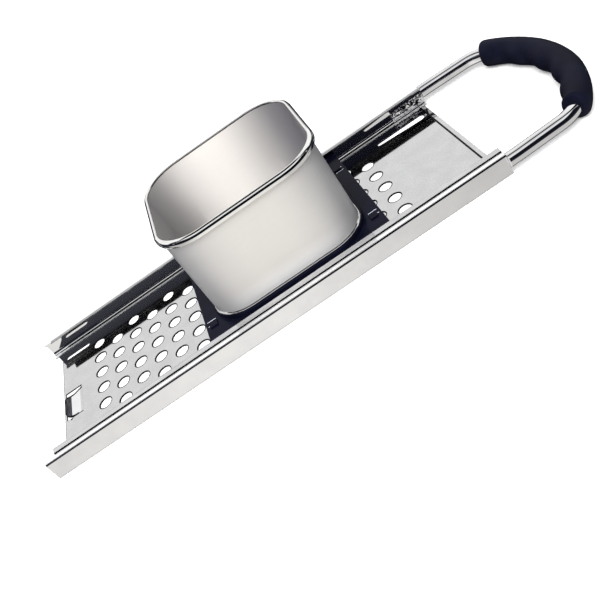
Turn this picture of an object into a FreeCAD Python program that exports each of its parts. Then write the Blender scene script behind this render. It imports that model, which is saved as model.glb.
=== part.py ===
"""Spaetzle maker: a slicing tray with a U-shaped handle and a hopper carriage that slides along it.

Frame: +X runs from the open front of the tray to the grip, +Y across the tray, +Z up.
The origin is under the middle of the whole object, on the surface that it stands on.
Each sub-part is an object of this document; its sizes are bound to the sheet called Sizes.
"""
import math
import os

import FreeCAD
import Part
import Sketcher
from FreeCAD import Vector

SIZES = {
    # tray: one polished sheet, split at its folds into a plate, two walls and two flanges
    "tray_length": 290.0,
    "tray_width": 117.5,
    "rail_height": 12.3,
    "gauge": 0.8,
    "flange_width": 4.15,
    "flange_lip": 3.8,
    "flange_rise": 1.4,
    "flange_cut": 5.0,
    "fold_flat": 0.04,
    # slicing plate
    "front_setback": 5.5,
    "front_shoulder": 0.6,
    "front_slant": 13.0,
    "end_setback": 1.5,
    "end_bevel": 3.6,
    "end_drop": 0.45,
    "hole_diameter": 8.3,
    "hole_start": 34.1,
    "hole_end": 50.0,
    "hole_column_pitch": 13.47,
    "hole_row_pitch": 15.3,
    "slot_width": 3.5,
    "slot_from_wall": 12.85,
    "front_slot_start": 8.5,
    "front_slot_length": 18.5,
    "rear_slot_length": 33.7,
    "rear_slot_to_end": 6.8,
    "rear_slot_end_width": 6.2,
    # stop tongue, lanced from the plate's front edge
    "tongue_start": 7.4,
    "tongue_length": 11.0,
    "tongue_low": -16.0,
    "tongue_width": 19.0,
    "tongue_rise": 2.6,
    "tongue_taper": 3.0,
    "window_margin": 6.0,
    "lance_gap": 0.6,
    # handle
    "tube_radius": 4.0,
    "tube_bore": 3.0,
    "leg_inset": 0.35,
    "leg_closing": 1.3,
    "leg_start": 6.0,
    "flat_length": 23.0,
    "flat_half": 1.7,
    "flat_play": 0.65,
    "corner_radius": 20.0,
    "bow_radius": 82.0,
    "handle_reach": 63.2,
    "grip_radius": 8.0,
    "grip_lift": 0.1,
    "grip_wrap": 5.7,
    "finger_relief": 0.2,
    "finger_length": 11.0,
    "finger_inset": 1.2,
    "finger_spacing": 17.0,
    "weld_length": 15.0,
    "weld_leg": 1.0,
    # carriage
    "carriage_centre": 166.9,
    "carriage_margin": 8.5,
    "side_play": 0.5,
    "lift_play": 0.25,
    "clamp_thickness": 2.6,
    "clamp_round": 2.0,
    "frame_corner": 3.0,
    "guide_width": 2.6,
    "guide_play": 0.4,
    "guide_rise": 1.1,
    "collar_thickness": 2.2,
    "collar_rise": 3.4,
    "collar_round": 0.9,
    "clip_length": 5.0,
    "clip_width": 3.4,
    "clip_foot": 1.2,
    "clip_foot_height": 1.0,
    "clip_hook": 0.7,
    "clip_hook_height": 0.8,
    "clip_sink": 0.3,
    "clip_inset": 5.0,
    "clip_offset": 33.0,
    # hopper
    "hopper_length": 98.2,
    "hopper_clearance": 5.05,
    "hopper_corner": 25.0,
    "hopper_top": 69.0,
    "hopper_wall": 0.6,
    "rim_thickness": 2.4,
    "rim_height": 4.0,
    "foot_width": 3.6,
}
LONG_COLUMN_HOLES = 6
SHORT_COLUMN_HOLES = 5
FINGER_WAVES = 4
# Side view of the stop tongue: shares of its length from the root and of its rise.
TONGUE_WAVE = ((0.3, 0.35), (0.6, 0.85), (0.8, 1.0), (1.0, 0.8))
TONGUE_STRAIGHT = 0.2
# Each weld seam lies between these shares of the flattened tube's half height.
WELD_BAND = (0.5, 0.9)
# The rim's rounding, as a share of how far the rim stands out from the wall.
RIM_ROUND = 0.65
SIDES = (1, -1)
CORNERS = ((1, 1), (-1, 1), (-1, -1), (1, -1))

doc = FreeCAD.newDocument("SpaetzleMaker")


class Size:
    """A length that knows both its number and the sheet expression that gives it."""

    def __init__(self, value, text=None):
        self.value = float(value)
        self.text = text if text is not None else repr(float(value))

    def join(self, other, sign, value):
        return Size(value, "(%s %s %s)" % (self.text, sign, other.text))

    def __add__(self, other):
        other = size(other)
        return self.join(other, "+", self.value + other.value)

    def __sub__(self, other):
        other = size(other)
        return self.join(other, "-", self.value - other.value)

    def __mul__(self, other):
        other = size(other)
        return self.join(other, "*", self.value * other.value)

    def __truediv__(self, other):
        other = size(other)
        return self.join(other, "/", self.value / other.value)

    def __neg__(self):
        return self * -1

    def root(self):
        return Size(math.sqrt(self.value), "sqrt(%s)" % self.text)

    def whole(self):
        return Size(math.floor(self.value), "floor(%s)" % self.text)

    def __radd__(self, other):
        return size(other) + self

    def __rsub__(self, other):
        return size(other) - self

    def __rmul__(self, other):
        return size(other) * self


def size(number):
    return number if isinstance(number, Size) else Size(number)


def make_sheet():
    """Writes the driving dimensions into the sheet and returns each as a Size."""
    sheet = doc.addObject("Spreadsheet::Sheet", "Sizes")
    for row, (name, number) in enumerate(SIZES.items(), start=1):
        sheet.set("A%d" % row, name)
        sheet.set("B%d" % row, str(number))
        sheet.setAlias("B%d" % row, name)
    doc.recompute()
    return {name: Size(number, "Sizes." + name) for name, number in SIZES.items()}


S = make_sheet()

# Places worked out from the driving dimensions; x is counted from the middle of the whole object.
OVERALL = S["tray_length"] + S["handle_reach"] + S["grip_radius"]
FRONT = OVERALL / -2
REAR = FRONT + S["tray_length"]
WALL_OUT = S["tray_width"] / 2
WALL_IN = WALL_OUT - S["gauge"]
FLANGE_FOLD = WALL_OUT - S["flange_width"]
FLANGE_LIP = FLANGE_FOLD - S["flange_lip"]
FLANGE_LOW = S["rail_height"] - S["gauge"]
HOLE_RUN = S["tray_length"] - S["hole_start"] - S["hole_end"]
COLUMN_PAIRS = ((HOLE_RUN / S["hole_column_pitch"] + 1) / 2).whole()
TONGUE_TIP = FRONT + S["tongue_start"]
TONGUE_ROOT = TONGUE_TIP + S["tongue_length"]
TONGUE_HIGH = S["tongue_low"] + S["tongue_width"]
TUBE_Z = S["grip_radius"] + S["grip_lift"]
LEG_Y = WALL_IN - S["leg_inset"]
CORNER_Y = LEG_Y - S["leg_closing"] - S["corner_radius"]
BOW_X = REAR + S["handle_reach"] - S["bow_radius"]
BOW_TO_CORNER = S["bow_radius"] - S["corner_radius"]
CORNER_X = BOW_X + (BOW_TO_CORNER * BOW_TO_CORNER - CORNER_Y * CORNER_Y).root()
CORNER_JOINT_X = BOW_X + (CORNER_X - BOW_X) * S["bow_radius"] / BOW_TO_CORNER
GRIP_START = CORNER_JOINT_X - S["grip_wrap"]
FLAT_Z = (S["gauge"] + FLANGE_LOW) / 2
FLAT_TALL = (FLANGE_LOW - S["gauge"]) / 2 - S["flat_play"]
CARRIAGE_X = FRONT + S["carriage_centre"]
CARRIAGE_LENGTH = S["hopper_length"] + S["carriage_margin"] * 2
CLAMP_LOW = S["gauge"] + S["lift_play"]
FRAME_LOW = CLAMP_LOW + S["clamp_thickness"]
FRAME_HALF = WALL_IN - S["side_play"]
GUIDE_TOP = FLANGE_LOW - S["guide_play"]
FRAME_TOP = GUIDE_TOP - S["guide_rise"]
COLLAR_TOP = FRAME_TOP + S["collar_rise"]
HOPPER_WIDTH = (FLANGE_LIP - S["hopper_clearance"]) * 2
RIM_OVERHANG = S["rim_thickness"] - S["hopper_wall"]


def bind(thing, prop, length):
    """Ties a property to the sheet."""
    thing.setExpression(prop, size(length).text)


def new_body(label):
    body = doc.addObject("PartDesign::Body", label)
    body.Label = label
    return body


def new_sketch(body, name, role, offset=0):
    """A sketch on one of the body's own origin planes, lifted off it along the plane's normal."""
    plane = [f for f in body.Origin.OriginFeatures if f.Role == role][0]
    sketch = body.newObject("Sketcher::SketchObject", name)
    sketch.AttachmentSupport = [(plane, "")]
    sketch.MapMode = "FlatFace"
    bind(sketch, ".AttachmentOffset.Base.z", offset)
    return sketch


def hold(sketch, kind, where, length):
    """Adds a dimension to the sketch and ties it to the sheet."""
    length = size(length)
    index = sketch.addConstraint(Sketcher.Constraint(kind, *where, length.value))
    bind(sketch, "Constraints[%d]" % index, length)


def hold_point(sketch, geometry, end, x, y):
    """Dimensions a point of the sketch from the sketch's origin."""
    hold(sketch, "DistanceX", (-1, 1, geometry, end), x)
    hold(sketch, "DistanceY", (-1, 1, geometry, end), y)


def outline(sketch, corners):
    """A closed outline of straight lines through the corners."""
    corners = [(size(x), size(y)) for x, y in corners]
    points = [Vector(x.value, y.value, 0) for x, y in corners]
    first = sketch.GeometryCount
    count = len(points)
    for k in range(count):
        sketch.addGeometry(Part.LineSegment(points[k], points[(k + 1) % count]), False)
    for k, (x, y) in enumerate(corners):
        before = first + (k - 1) % count
        sketch.addConstraint(Sketcher.Constraint("Coincident", before, 2, first + k, 1))
        hold_point(sketch, first + k, 1, x, y)


def box(sketch, x0, x1, y0, y1):
    outline(sketch, [(x0, y0), (x1, y0), (x1, y1), (x0, y1)])


def circle(sketch, x, y, radius):
    x, y, radius = size(x), size(y), size(radius)
    ring = Part.Circle(Vector(x.value, y.value, 0), Vector(0, 0, 1), radius.value)
    index = sketch.addGeometry(ring, False)
    hold_point(sketch, index, 3, x, y)
    hold(sketch, "Radius", (index,), radius)


def arc(sketch, x, y, radius, start, end):
    """An arc by centre, radius and angles in degrees, its centre and radius tied to the sheet."""
    x, y, radius = size(x), size(y), size(radius)
    ring = Part.Circle(Vector(x.value, y.value, 0), Vector(0, 0, 1), radius.value)
    index = sketch.addGeometry(Part.ArcOfCircle(ring, math.radians(start), math.radians(end)), False)
    hold_point(sketch, index, 3, x, y)
    hold(sketch, "Radius", (index,), radius)
    return index


def nearest_end(sketch, geometry, point):
    """Which end of the geometry, 1 or 2, lies at the point."""
    return min((1, 2), key=lambda end: sketch.getPoint(geometry, end).distanceToPoint(point))


def join_tangent(sketch, first, second, point):
    """Joins two pieces of a sketch smoothly at the point."""
    ends = [nearest_end(sketch, geometry, point) for geometry in (first, second)]
    sketch.addConstraint(Sketcher.Constraint("Tangent", first, ends[0], second, ends[1]))


def join_arcs(sketch, arcs):
    """Closes a ring of arcs, each one's end joined to the next one's start by a tangent side."""
    for first, second in zip(arcs, arcs[1:] + arcs[:1]):
        start = sketch.getPoint(first, 2)
        end = sketch.getPoint(second, 1)
        side = sketch.addGeometry(Part.LineSegment(start, end), False)
        join_tangent(sketch, first, side, start)
        join_tangent(sketch, side, second, end)


def rounded_box(sketch, x, y, length, width, radius):
    """A closed rectangle with round corners, centred on x, y."""
    reach_x = size(length) / 2 - radius
    reach_y = size(width) / 2 - radius
    arcs = [arc(sketch, x + reach_x * sx, y + reach_y * sy, radius, 90 * k, 90 * k + 90)
            for k, (sx, sy) in enumerate(CORNERS)]
    join_arcs(sketch, arcs)


def slot(sketch, x0, x1, y, width, end_y=None, end_width=None):
    """A round-ended slot from x0 to x1; end_y and end_width are its middle and width at x1."""
    radius = size(width) / 2
    end_radius = radius if end_width is None else size(end_width) / 2
    left = arc(sketch, x0 + radius, y, radius, 90, 270)
    right = arc(sketch, x1 - end_radius, y if end_y is None else end_y, end_radius, 270, 450)
    join_arcs(sketch, [left, right])


def ellipse(sketch, x, y, half_x, half_y):
    """An ellipse that is taller (along the sketch's y) than wide."""
    x, y, half_x, half_y = size(x), size(y), size(half_x), size(half_y)
    centre = Vector(x.value, y.value, 0)
    curve = Part.Ellipse(centre + Vector(0, half_y.value, 0), centre + Vector(half_x.value, 0, 0), centre)
    index = sketch.addGeometry(curve, False)
    sketch.exposeInternalGeometry(index)
    hold_point(sketch, index, 3, x, y)
    tall, wide = index + 1, index + 2
    sketch.addConstraint(Sketcher.Constraint("Vertical", tall))
    hold(sketch, "Distance", (tall,), half_y * 2)
    hold(sketch, "Distance", (wide,), half_x * 2)


def pad(body, sketch, length, reverse=False, midplane=False):
    feature = body.newObject("PartDesign::Pad", sketch.Name + "Pad")
    feature.Profile = sketch
    feature.Reversed = reverse
    feature.SideType = "Symmetric" if midplane else "One side"
    bind(feature, "Length", length)
    return feature


def pocket(body, sketch, length, reverse=False, midplane=False):
    feature = body.newObject("PartDesign::Pocket", sketch.Name + "Pocket")
    feature.Profile = sketch
    feature.Reversed = reverse
    feature.SideType = "Symmetric" if midplane else "One side"
    bind(feature, "Length", length)
    return feature


def edges_where(feature, test):
    """Names of the feature's edges for which test(edge) is true."""
    doc.recompute()
    return ["Edge%d" % k for k, edge in enumerate(feature.Shape.Edges, start=1) if test(edge)]


def fillet(body, feature, test, radius):
    """Rounds the edges of the feature that pass the test."""
    names = edges_where(feature, test)
    rounding = body.newObject("PartDesign::Fillet", feature.Name + "Round")
    rounding.Base = (feature, names)
    bind(rounding, "Radius", radius)
    return rounding


def near(a, b, within=0.01):
    return abs(a - size(b).value) < within


# ---------------------------------------------------------------- tray


def column_of_holes(body, name, column, count):
    """One column of holes and its repeats along the plate, every second column pitch."""
    sketch = new_sketch(body, name, "XY_Plane")
    place = FRONT + S["hole_start"] + S["hole_column_pitch"] * column
    for k in range(count):
        row = S["hole_row_pitch"] * (k - (count - 1) / 2)
        circle(sketch, place, row, S["hole_diameter"] / 2)
    cut = pocket(body, sketch, S["gauge"], reverse=True)
    repeat = body.newObject("PartDesign::LinearPattern", name + "Repeat")
    repeat.Originals = [cut]
    repeat.Direction = (sketch, ["H_Axis"])
    repeat.Mode = "Spacing"
    bind(repeat, "Offset", S["hole_column_pitch"] * 2)
    bind(repeat, "Occurrences", COLUMN_PAIRS)
    body.Tip = repeat


def make_slicing_plate():
    """Flat perforated floor of the tray, with corner slots, a bevelled end and the tongue's window."""
    body = new_body("slicing_plate")
    edge = FRONT + S["front_setback"]
    end = REAR - S["end_setback"]
    inner = WALL_IN - S["front_slant"]
    sheet = new_sketch(body, "PlateOutline", "XY_Plane")
    shoulder = FRONT + S["front_shoulder"]
    outline(sheet, [(shoulder, -WALL_IN), (end, -WALL_IN), (end, WALL_IN), (shoulder, WALL_IN),
                    (edge, inner), (edge, -inner)])
    pad(body, sheet, S["gauge"])

    bevel = new_sketch(body, "PlateEndBevel", "XZ_Plane")
    bevel_start = end - S["end_bevel"]
    clear = S["gauge"] * 2
    low = S["gauge"] - S["end_drop"]
    outline(bevel, [(bevel_start, S["gauge"]), (end, low), (end, clear), (bevel_start, clear)])
    pocket(body, bevel, S["tray_width"], midplane=True)

    column_of_holes(body, "LongColumn", 0, LONG_COLUMN_HOLES)
    column_of_holes(body, "ShortColumn", 1, SHORT_COLUMN_HOLES)

    slots = new_sketch(body, "CornerSlots", "XY_Plane")
    front_slot = FRONT + S["front_slot_start"]
    rear_slot = REAR - S["rear_slot_to_end"]
    widening = (S["rear_slot_end_width"] - S["slot_width"]) / 2
    for side in SIDES:
        row = (WALL_IN - S["slot_from_wall"]) * side
        slot(slots, front_slot, front_slot + S["front_slot_length"], row, S["slot_width"])
        slot(slots, rear_slot - S["rear_slot_length"], rear_slot, row, S["slot_width"],
             row - widening * side, S["rear_slot_end_width"])
    pocket(body, slots, S["gauge"], reverse=True)

    window = new_sketch(body, "TongueWindow", "XY_Plane")
    gap = S["lance_gap"]
    box(window, TONGUE_TIP - gap, TONGUE_ROOT, S["tongue_low"] - gap, TONGUE_HIGH + S["window_margin"])
    pocket(body, window, S["gauge"], reverse=True)
    return body


def make_stop_tongue():
    """A tapered tongue cut free on three sides and lifted towards the front edge of the plate."""
    body = new_body("stop_tongue")
    strip = new_sketch(body, "TongueStrip", "XZ_Plane", -TONGUE_HIGH)
    top = S["gauge"]
    under = [(TONGUE_ROOT, 0)]
    for along, up in TONGUE_WAVE:
        under.append((TONGUE_ROOT - S["tongue_length"] * along, S["tongue_rise"] * up))
    over = [(x, z + top) for x, z in reversed(under)]
    outline(strip, under + over)
    pad(body, strip, S["tongue_width"])

    taper = new_sketch(body, "TongueTaper", "XY_Plane")
    straight = TONGUE_ROOT - S["tongue_length"] * TONGUE_STRAIGHT
    before_tip = TONGUE_TIP - S["lance_gap"]
    for base, inward in ((S["tongue_low"], 1), (TONGUE_HIGH, -1)):
        narrow = base + S["tongue_taper"] * inward
        outline(taper, [(before_tip, base), (straight, base), (before_tip, narrow)])
    pocket(body, taper, S["tongue_rise"] + top, reverse=True)
    return body


def make_wall(label, side):
    """One long wall of the tray, from the ground up to its flange."""
    body = new_body(label)
    plan = new_sketch(body, "WallPlan", "XY_Plane")
    box(plan, FRONT, REAR, WALL_IN * side, WALL_OUT * side)
    pad(body, plan, FLANGE_LOW)
    return body


def make_flange(label, side):
    """The fold over one wall's top: a flat strip with a diagonal front corner, and a rising lip."""
    body = new_body(label)
    gauge = S["gauge"]
    top = S["rail_height"]
    lip_top = top + S["flange_rise"]
    profile = new_sketch(body, "FlangeProfile", "YZ_Plane", FRONT)
    corners = [(WALL_OUT, FLANGE_LOW), (WALL_OUT, top), (FLANGE_FOLD, top), (FLANGE_LIP, lip_top),
               (FLANGE_LIP, lip_top - gauge), (FLANGE_FOLD, FLANGE_LOW)]
    outline(profile, [(y * side, z) for y, z in corners])
    strip = pad(body, profile, S["tray_length"])

    def on_outer_fold(edge):
        middle = edge.CenterOfMass
        return near(abs(middle.y), WALL_OUT) and near(middle.z, top) and edge.Length > gauge.value * 2

    rounded = fillet(body, strip, on_outer_fold, gauge - S["fold_flat"])
    cut = new_sketch(body, "FlangeCorner", "XY_Plane", FLANGE_LOW)
    square_end = FRONT + S["flange_cut"]
    cut_corners = [(FRONT, WALL_IN), (square_end, FLANGE_FOLD), (square_end, FLANGE_LIP),
                   (FRONT, FLANGE_LIP)]
    outline(cut, [(x, y * side) for x, y in cut_corners])
    body.Tip = rounded
    pocket(body, cut, S["flange_rise"] + gauge * 2, reverse=True)
    return body


# ---------------------------------------------------------------- handle


def tangent_touch(start, centre, radius):
    """Where a line from start touches the circle, on the circle's side away from the middle plane."""
    to_centre = centre - start
    turn = math.atan2(to_centre.y, to_centre.x) - math.asin(radius / to_centre.Length)
    reach = math.sqrt(to_centre.Length ** 2 - radius ** 2)
    return start + Vector(math.cos(turn), math.sin(turn), 0) * reach


def mirrored(point):
    return Vector(point.x, -point.y, 0)


def handle_path(body, name, leg_start=None):
    """The tube's centre line: bowed end, two corners and, from leg_start, two slightly closing legs.

    With no leg_start the line stops on the two corners, at the ends of the grip.
    """
    path = new_sketch(body, name, "XY_Plane", TUBE_Z)
    bow_centre = Vector(BOW_X.value, 0, 0)
    corner = S["corner_radius"].value
    centre = Vector(CORNER_X.value, -CORNER_Y.value, 0)
    outward = (centre - bow_centre).normalize()
    joint = bow_centre + outward * S["bow_radius"].value
    if leg_start is None:
        free_x = GRIP_START.value
        free = Vector(free_x, centre.y - math.sqrt(corner ** 2 - (free_x - centre.x) ** 2), 0)
    else:
        start = Vector(leg_start.value, -LEG_Y.value, 0)
        free = tangent_touch(start, centre, corner)
    middle = centre + ((free - centre).normalize() + outward).normalize() * corner
    apex = bow_centre + Vector(S["bow_radius"].value, 0, 0)
    shapes = [Part.Arc(free, middle, joint), Part.Arc(joint, apex, mirrored(joint)),
              Part.Arc(mirrored(joint), mirrored(middle), mirrored(free))]
    joints = [joint, mirrored(joint)]
    if leg_start is not None:
        legs = [Part.LineSegment(start, free), Part.LineSegment(mirrored(free), mirrored(start))]
        shapes = legs[:1] + shapes + legs[1:]
        joints = [free] + joints + [mirrored(free)]
    pieces = [path.addGeometry(shape, False) for shape in shapes]
    for first, second, point in zip(pieces, pieces[1:], joints):
        join_tangent(path, first, second, point)
    bow = pieces[len(pieces) // 2]
    hold_point(path, bow, 3, BOW_X, 0)
    hold(path, "Radius", (bow,), S["bow_radius"])
    for index, side in ((bow - 1, -1), (bow + 1, 1)):
        hold(path, "Radius", (index,), S["corner_radius"])
        hold(path, "DistanceY", (-1, 1, index, 3), CORNER_Y * side)
        if leg_start is None:
            end = nearest_end(path, index, Vector(free.x, -free.y * side, 0))
            hold(path, "DistanceX", (-1, 1, index, end), GRIP_START)
    if leg_start is not None:
        hold_point(path, pieces[0], 1, leg_start, -LEG_Y)
        hold_point(path, pieces[-1], 2, leg_start, LEG_Y)
    return path


def round_section(body, name, path, radii, last=False):
    """Circles across the path at its start, or at its end if last."""
    section = body.newObject("Sketcher::SketchObject", name)
    edge = "Edge%d" % (path.GeometryCount if last else 1)
    section.AttachmentSupport = [(path, edge)]
    section.MapMode = "NormalToEdge"
    section.MapPathParameter = 1 if last else 0
    for radius in radii:
        circle(section, 0, 0, radius)
    return section


def pipe(body, profile, spine, cut=False):
    """Sweeps a profile along a path, adding to the body or cutting from it."""
    kind = "PartDesign::SubtractivePipe" if cut else "PartDesign::AdditivePipe"
    sweep = body.newObject(kind, profile.Name + "Sweep")
    sweep.Profile = profile
    sweep.Spine = (spine, [])
    return sweep


def flat_section(body, name, x, side):
    """Section of the tube's flattened end, against the inside of the wall."""
    sketch = new_sketch(body, name, "YZ_Plane", x)
    ellipse(sketch, (WALL_IN - S["flat_half"]) * side, FLAT_Z, S["flat_half"], FLAT_TALL)
    return sketch


def make_handle_tube():
    """Round tube bent to a U, flattened where its ends lie inside the walls."""
    body = new_body("handle_tube")
    path = handle_path(body, "TubePath", REAR + S["leg_start"])
    doc.recompute()
    pipe(body, round_section(body, "TubeRing", path, (S["tube_radius"], S["tube_bore"])), path)
    for side, name in zip(SIDES, ("Left", "Right")):
        flat = flat_section(body, name + "Flat", REAR, side)
        pad(body, flat, S["flat_length"], reverse=True)
        flare = flat_section(body, name + "FlareStart", REAR, side)
        mouth = round_section(body, name + "FlareEnd", path, (S["tube_radius"],), side > 0)
        loft = body.newObject("PartDesign::AdditiveLoft", name + "Flare")
        loft.Profile = flare
        loft.Sections = [mouth]
    return body


def make_handle_grip():
    """Thick sleeve on the bowed end, with finger waves on its inner side."""
    body = new_body("handle_grip")
    path = handle_path(body, "GripPath")
    doc.recompute()
    pipe(body, round_section(body, "GripOuter", path, (S["grip_radius"],)), path)
    wave_radius = S["grip_radius"] - S["finger_relief"]
    for k in range(FINGER_WAVES):
        y = S["finger_spacing"] * (k - (FINGER_WAVES - 1) / 2)
        wave = body.newObject("PartDesign::AdditiveEllipsoid", "FingerWave%d" % (k + 1))
        bind(wave, "Radius1", wave_radius)
        bind(wave, "Radius2", wave_radius)
        bind(wave, "Radius3", S["finger_length"] / 2)
        reach = (S["bow_radius"] * S["bow_radius"] - y * y).root()
        bind(wave, ".Placement.Base.x", BOW_X + reach - S["finger_inset"])
        bind(wave, ".Placement.Base.y", y)
        bind(wave, ".Placement.Base.z", TUBE_Z)
    pipe(body, round_section(body, "GripBore", path, (S["tube_radius"],)), path, cut=True)
    return body


def make_tube_welds():
    """Weld seams above and below each flattened tube end, between it and the wall."""
    body = new_body("tube_welds")
    seam_start = REAR - S["flat_length"] + (S["flat_length"] - S["weld_length"]) / 2
    seams = new_sketch(body, "WeldSeams", "YZ_Plane", seam_start)
    for side in SIDES:
        for up in SIDES:
            near_z, far_z = (FLAT_Z + FLAT_TALL * share * up for share in WELD_BAND)
            box(seams, (WALL_IN - S["weld_leg"]) * side, WALL_IN * side, near_z, far_z)
    pad(body, seams, S["weld_length"])
    for side, name in zip(SIDES, ("Left", "Right")):
        room = flat_section(body, name + "TubeRoom", seam_start, side)
        pocket(body, room, S["weld_length"], reverse=True)
    return body


# ---------------------------------------------------------------- carriage


def ring_sketch(body, name, height, outer, inner):
    """Two rounded rectangles round the carriage's centre; each is (length, width, corner radius)."""
    sketch = new_sketch(body, name, "XY_Plane", height)
    for length, width, radius in (outer, inner):
        rounded_box(sketch, CARRIAGE_X, 0, length, width, radius)
    return sketch


def grown(shape, by):
    """A rounded rectangle made larger all round."""
    length, width, radius = shape
    return (length + by * 2, width + by * 2, radius + by)


def on_outline(edge, shape):
    """True for an edge that lies on the outline of a rounded rectangle round the carriage's centre."""
    length, width, radius = (value.value for value in shape)
    point = edge.valueAt((edge.FirstParameter + edge.LastParameter) / 2)
    past_x = max(abs(point.x - CARRIAGE_X.value) - (length / 2 - radius), 0)
    past_y = max(abs(point.y) - (width / 2 - radius), 0)
    return near(math.hypot(past_x, past_y), radius)


RIM = (S["hopper_length"], HOPPER_WIDTH, S["hopper_corner"])
WALL = grown(RIM, -RIM_OVERHANG)
BORE = grown(WALL, -S["hopper_wall"])
FOOT = grown(WALL, S["foot_width"])
FRAME = (CARRIAGE_LENGTH, FRAME_HALF * 2, S["frame_corner"])
CLIP_X = CARRIAGE_LENGTH / 2 - S["clip_inset"]
CLIP_LOW = CLAMP_LOW + S["clip_sink"]
CLIP_FOOT_TOP = CLIP_LOW + S["clip_foot_height"]


def clip_boxes(sketch, grow=0):
    """The plan of the four clips, grown along Y."""
    half_x = S["clip_length"] / 2
    half_y = S["clip_width"] / 2 + grow
    for sx, sy in CORNERS:
        x = CARRIAGE_X + CLIP_X * sx
        y = S["clip_offset"] * sy
        box(sketch, x - half_x, x + half_x, y - half_y, y + half_y)


def make_carriage_frame():
    """Plate with a collar round the hopper and a guide along each edge, under the tray's flanges."""
    body = new_body("carriage_frame")
    plate = ring_sketch(body, "FramePlate", FRAME_LOW, FRAME, WALL)
    pad(body, plate, FRAME_TOP - FRAME_LOW)
    outer = grown(WALL, S["collar_thickness"])
    collar = ring_sketch(body, "Collar", FRAME_LOW, outer, WALL)
    raised = pad(body, collar, COLLAR_TOP - FRAME_LOW)

    def on_collar_rim(edge):
        return near(edge.BoundBox.ZMin, COLLAR_TOP) and on_outline(edge, outer)

    rounded = fillet(body, raised, on_collar_rim, S["collar_round"])
    body.Tip = rounded
    guides = new_sketch(body, "Guides", "XY_Plane", FRAME_TOP)
    run = CARRIAGE_LENGTH / 2 - S["frame_corner"]
    for side in SIDES:
        inner = (FRAME_HALF - S["guide_width"]) * side
        box(guides, CARRIAGE_X - run, CARRIAGE_X + run, inner, FRAME_HALF * side)
    pad(body, guides, GUIDE_TOP - FRAME_TOP)
    recess = new_sketch(body, "FootRecess", "XY_Plane", FRAME_LOW)
    rounded_box(recess, CARRIAGE_X, 0, *FOOT)
    pocket(body, recess, S["hopper_wall"], reverse=True)
    holes = new_sketch(body, "ClipHoles", "XY_Plane", FRAME_LOW)
    clip_boxes(holes)
    pocket(body, holes, FRAME_TOP - FRAME_LOW, reverse=True)
    return body


def make_clamp_frame():
    """Ring under the carriage frame that holds the hopper's foot and scrapes the plate."""
    body = new_body("clamp_frame")
    plan = ring_sketch(body, "ClampRing", CLAMP_LOW, FRAME, BORE)
    ring = pad(body, plan, S["clamp_thickness"])

    def on_lower_outline(edge):
        return near(edge.BoundBox.ZMax, CLAMP_LOW) and on_outline(edge, FRAME)

    body.Tip = fillet(body, ring, on_lower_outline, S["clamp_round"])
    holes = new_sketch(body, "ClipPassages", "XY_Plane", CLAMP_LOW)
    clip_boxes(holes)
    pocket(body, holes, S["clamp_thickness"], reverse=True)
    feet = new_sketch(body, "ClipFeetRoom", "XY_Plane", CLAMP_LOW)
    clip_boxes(feet, S["clip_foot"])
    pocket(body, feet, CLIP_FOOT_TOP - CLAMP_LOW, reverse=True)
    return body


def make_hopper():
    """Thin straight-walled box with large corner radii, a foot flange and a rolled rim."""
    body = new_body("hopper")
    wall = ring_sketch(body, "HopperWall", FRAME_LOW, WALL, BORE)
    pad(body, wall, S["hopper_top"] - S["rim_height"] / 2 - FRAME_LOW)
    foot = ring_sketch(body, "HopperFoot", FRAME_LOW, FOOT, BORE)
    pad(body, foot, S["hopper_wall"])
    rim = ring_sketch(body, "HopperRim", S["hopper_top"] - S["rim_height"], RIM, BORE)
    roll = pad(body, rim, S["rim_height"])

    def on_roll(edge):
        low, high = edge.BoundBox.ZMin, edge.BoundBox.ZMax
        level = near(low, high) and low > (S["hopper_top"] - S["rim_height"] * 1.5).value
        return level and on_outline(edge, RIM)

    rolled = fillet(body, roll, on_roll, RIM_OVERHANG * RIM_ROUND)
    body.Tip = rolled
    return body


def make_frame_clips():
    """Four clips that join the two frames: a foot below, a shank and a hook on the frame's top."""
    body = new_body("frame_clips")
    layers = (("ClipFeet", S["clip_foot"], CLIP_LOW, CLIP_FOOT_TOP),
              ("ClipShanks", 0, CLIP_FOOT_TOP, FRAME_TOP),
              ("ClipHooks", S["clip_hook"], FRAME_TOP, FRAME_TOP + S["clip_hook_height"]))
    for name, grow, low, high in layers:
        plan = new_sketch(body, name, "XY_Plane", low)
        clip_boxes(plan, grow)
        pad(body, plan, high - low)
    return body


# ---------------------------------------------------------------- build, check and write

NODES = [
    make_slicing_plate(),
    make_stop_tongue(),
    make_wall("left_wall", 1),
    make_wall("right_wall", -1),
    make_flange("left_flange", 1),
    make_flange("right_flange", -1),
    make_handle_tube(),
    make_handle_grip(),
    make_tube_welds(),
    make_carriage_frame(),
    make_clamp_frame(),
    make_hopper(),
    make_frame_clips(),
]


def check_document():
    """Stops if any object of the document failed or any sub-part has no sound shape."""
    doc.recompute()
    for thing in doc.Objects:
        if {"Invalid", "Error"} & set(thing.State):
            raise RuntimeError("%s: %s" % (thing.Name, thing.State))
    for node in NODES:
        if node.Shape.isNull() or not node.Shape.isValid():
            raise RuntimeError("%s has no sound shape" % node.Label)


check_document()
os.makedirs("parts", exist_ok=True)
for node in NODES:
    node.Shape.exportStep("parts/%s.step" % node.Label)
    span = node.Shape.BoundBox
    print("%-16s solids %d volume %9.1f  x %.2f..%.2f y %.2f..%.2f z %.2f..%.2f" % (
        node.Label, len(node.Shape.Solids), node.Shape.Volume, span.XMin, span.XMax, span.YMin, span.YMax,
        span.ZMin, span.ZMax))
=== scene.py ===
"""Spaetzle maker: looks of the tray, its handle and the sliding hopper, on a pale studio floor."""
import math

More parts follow.
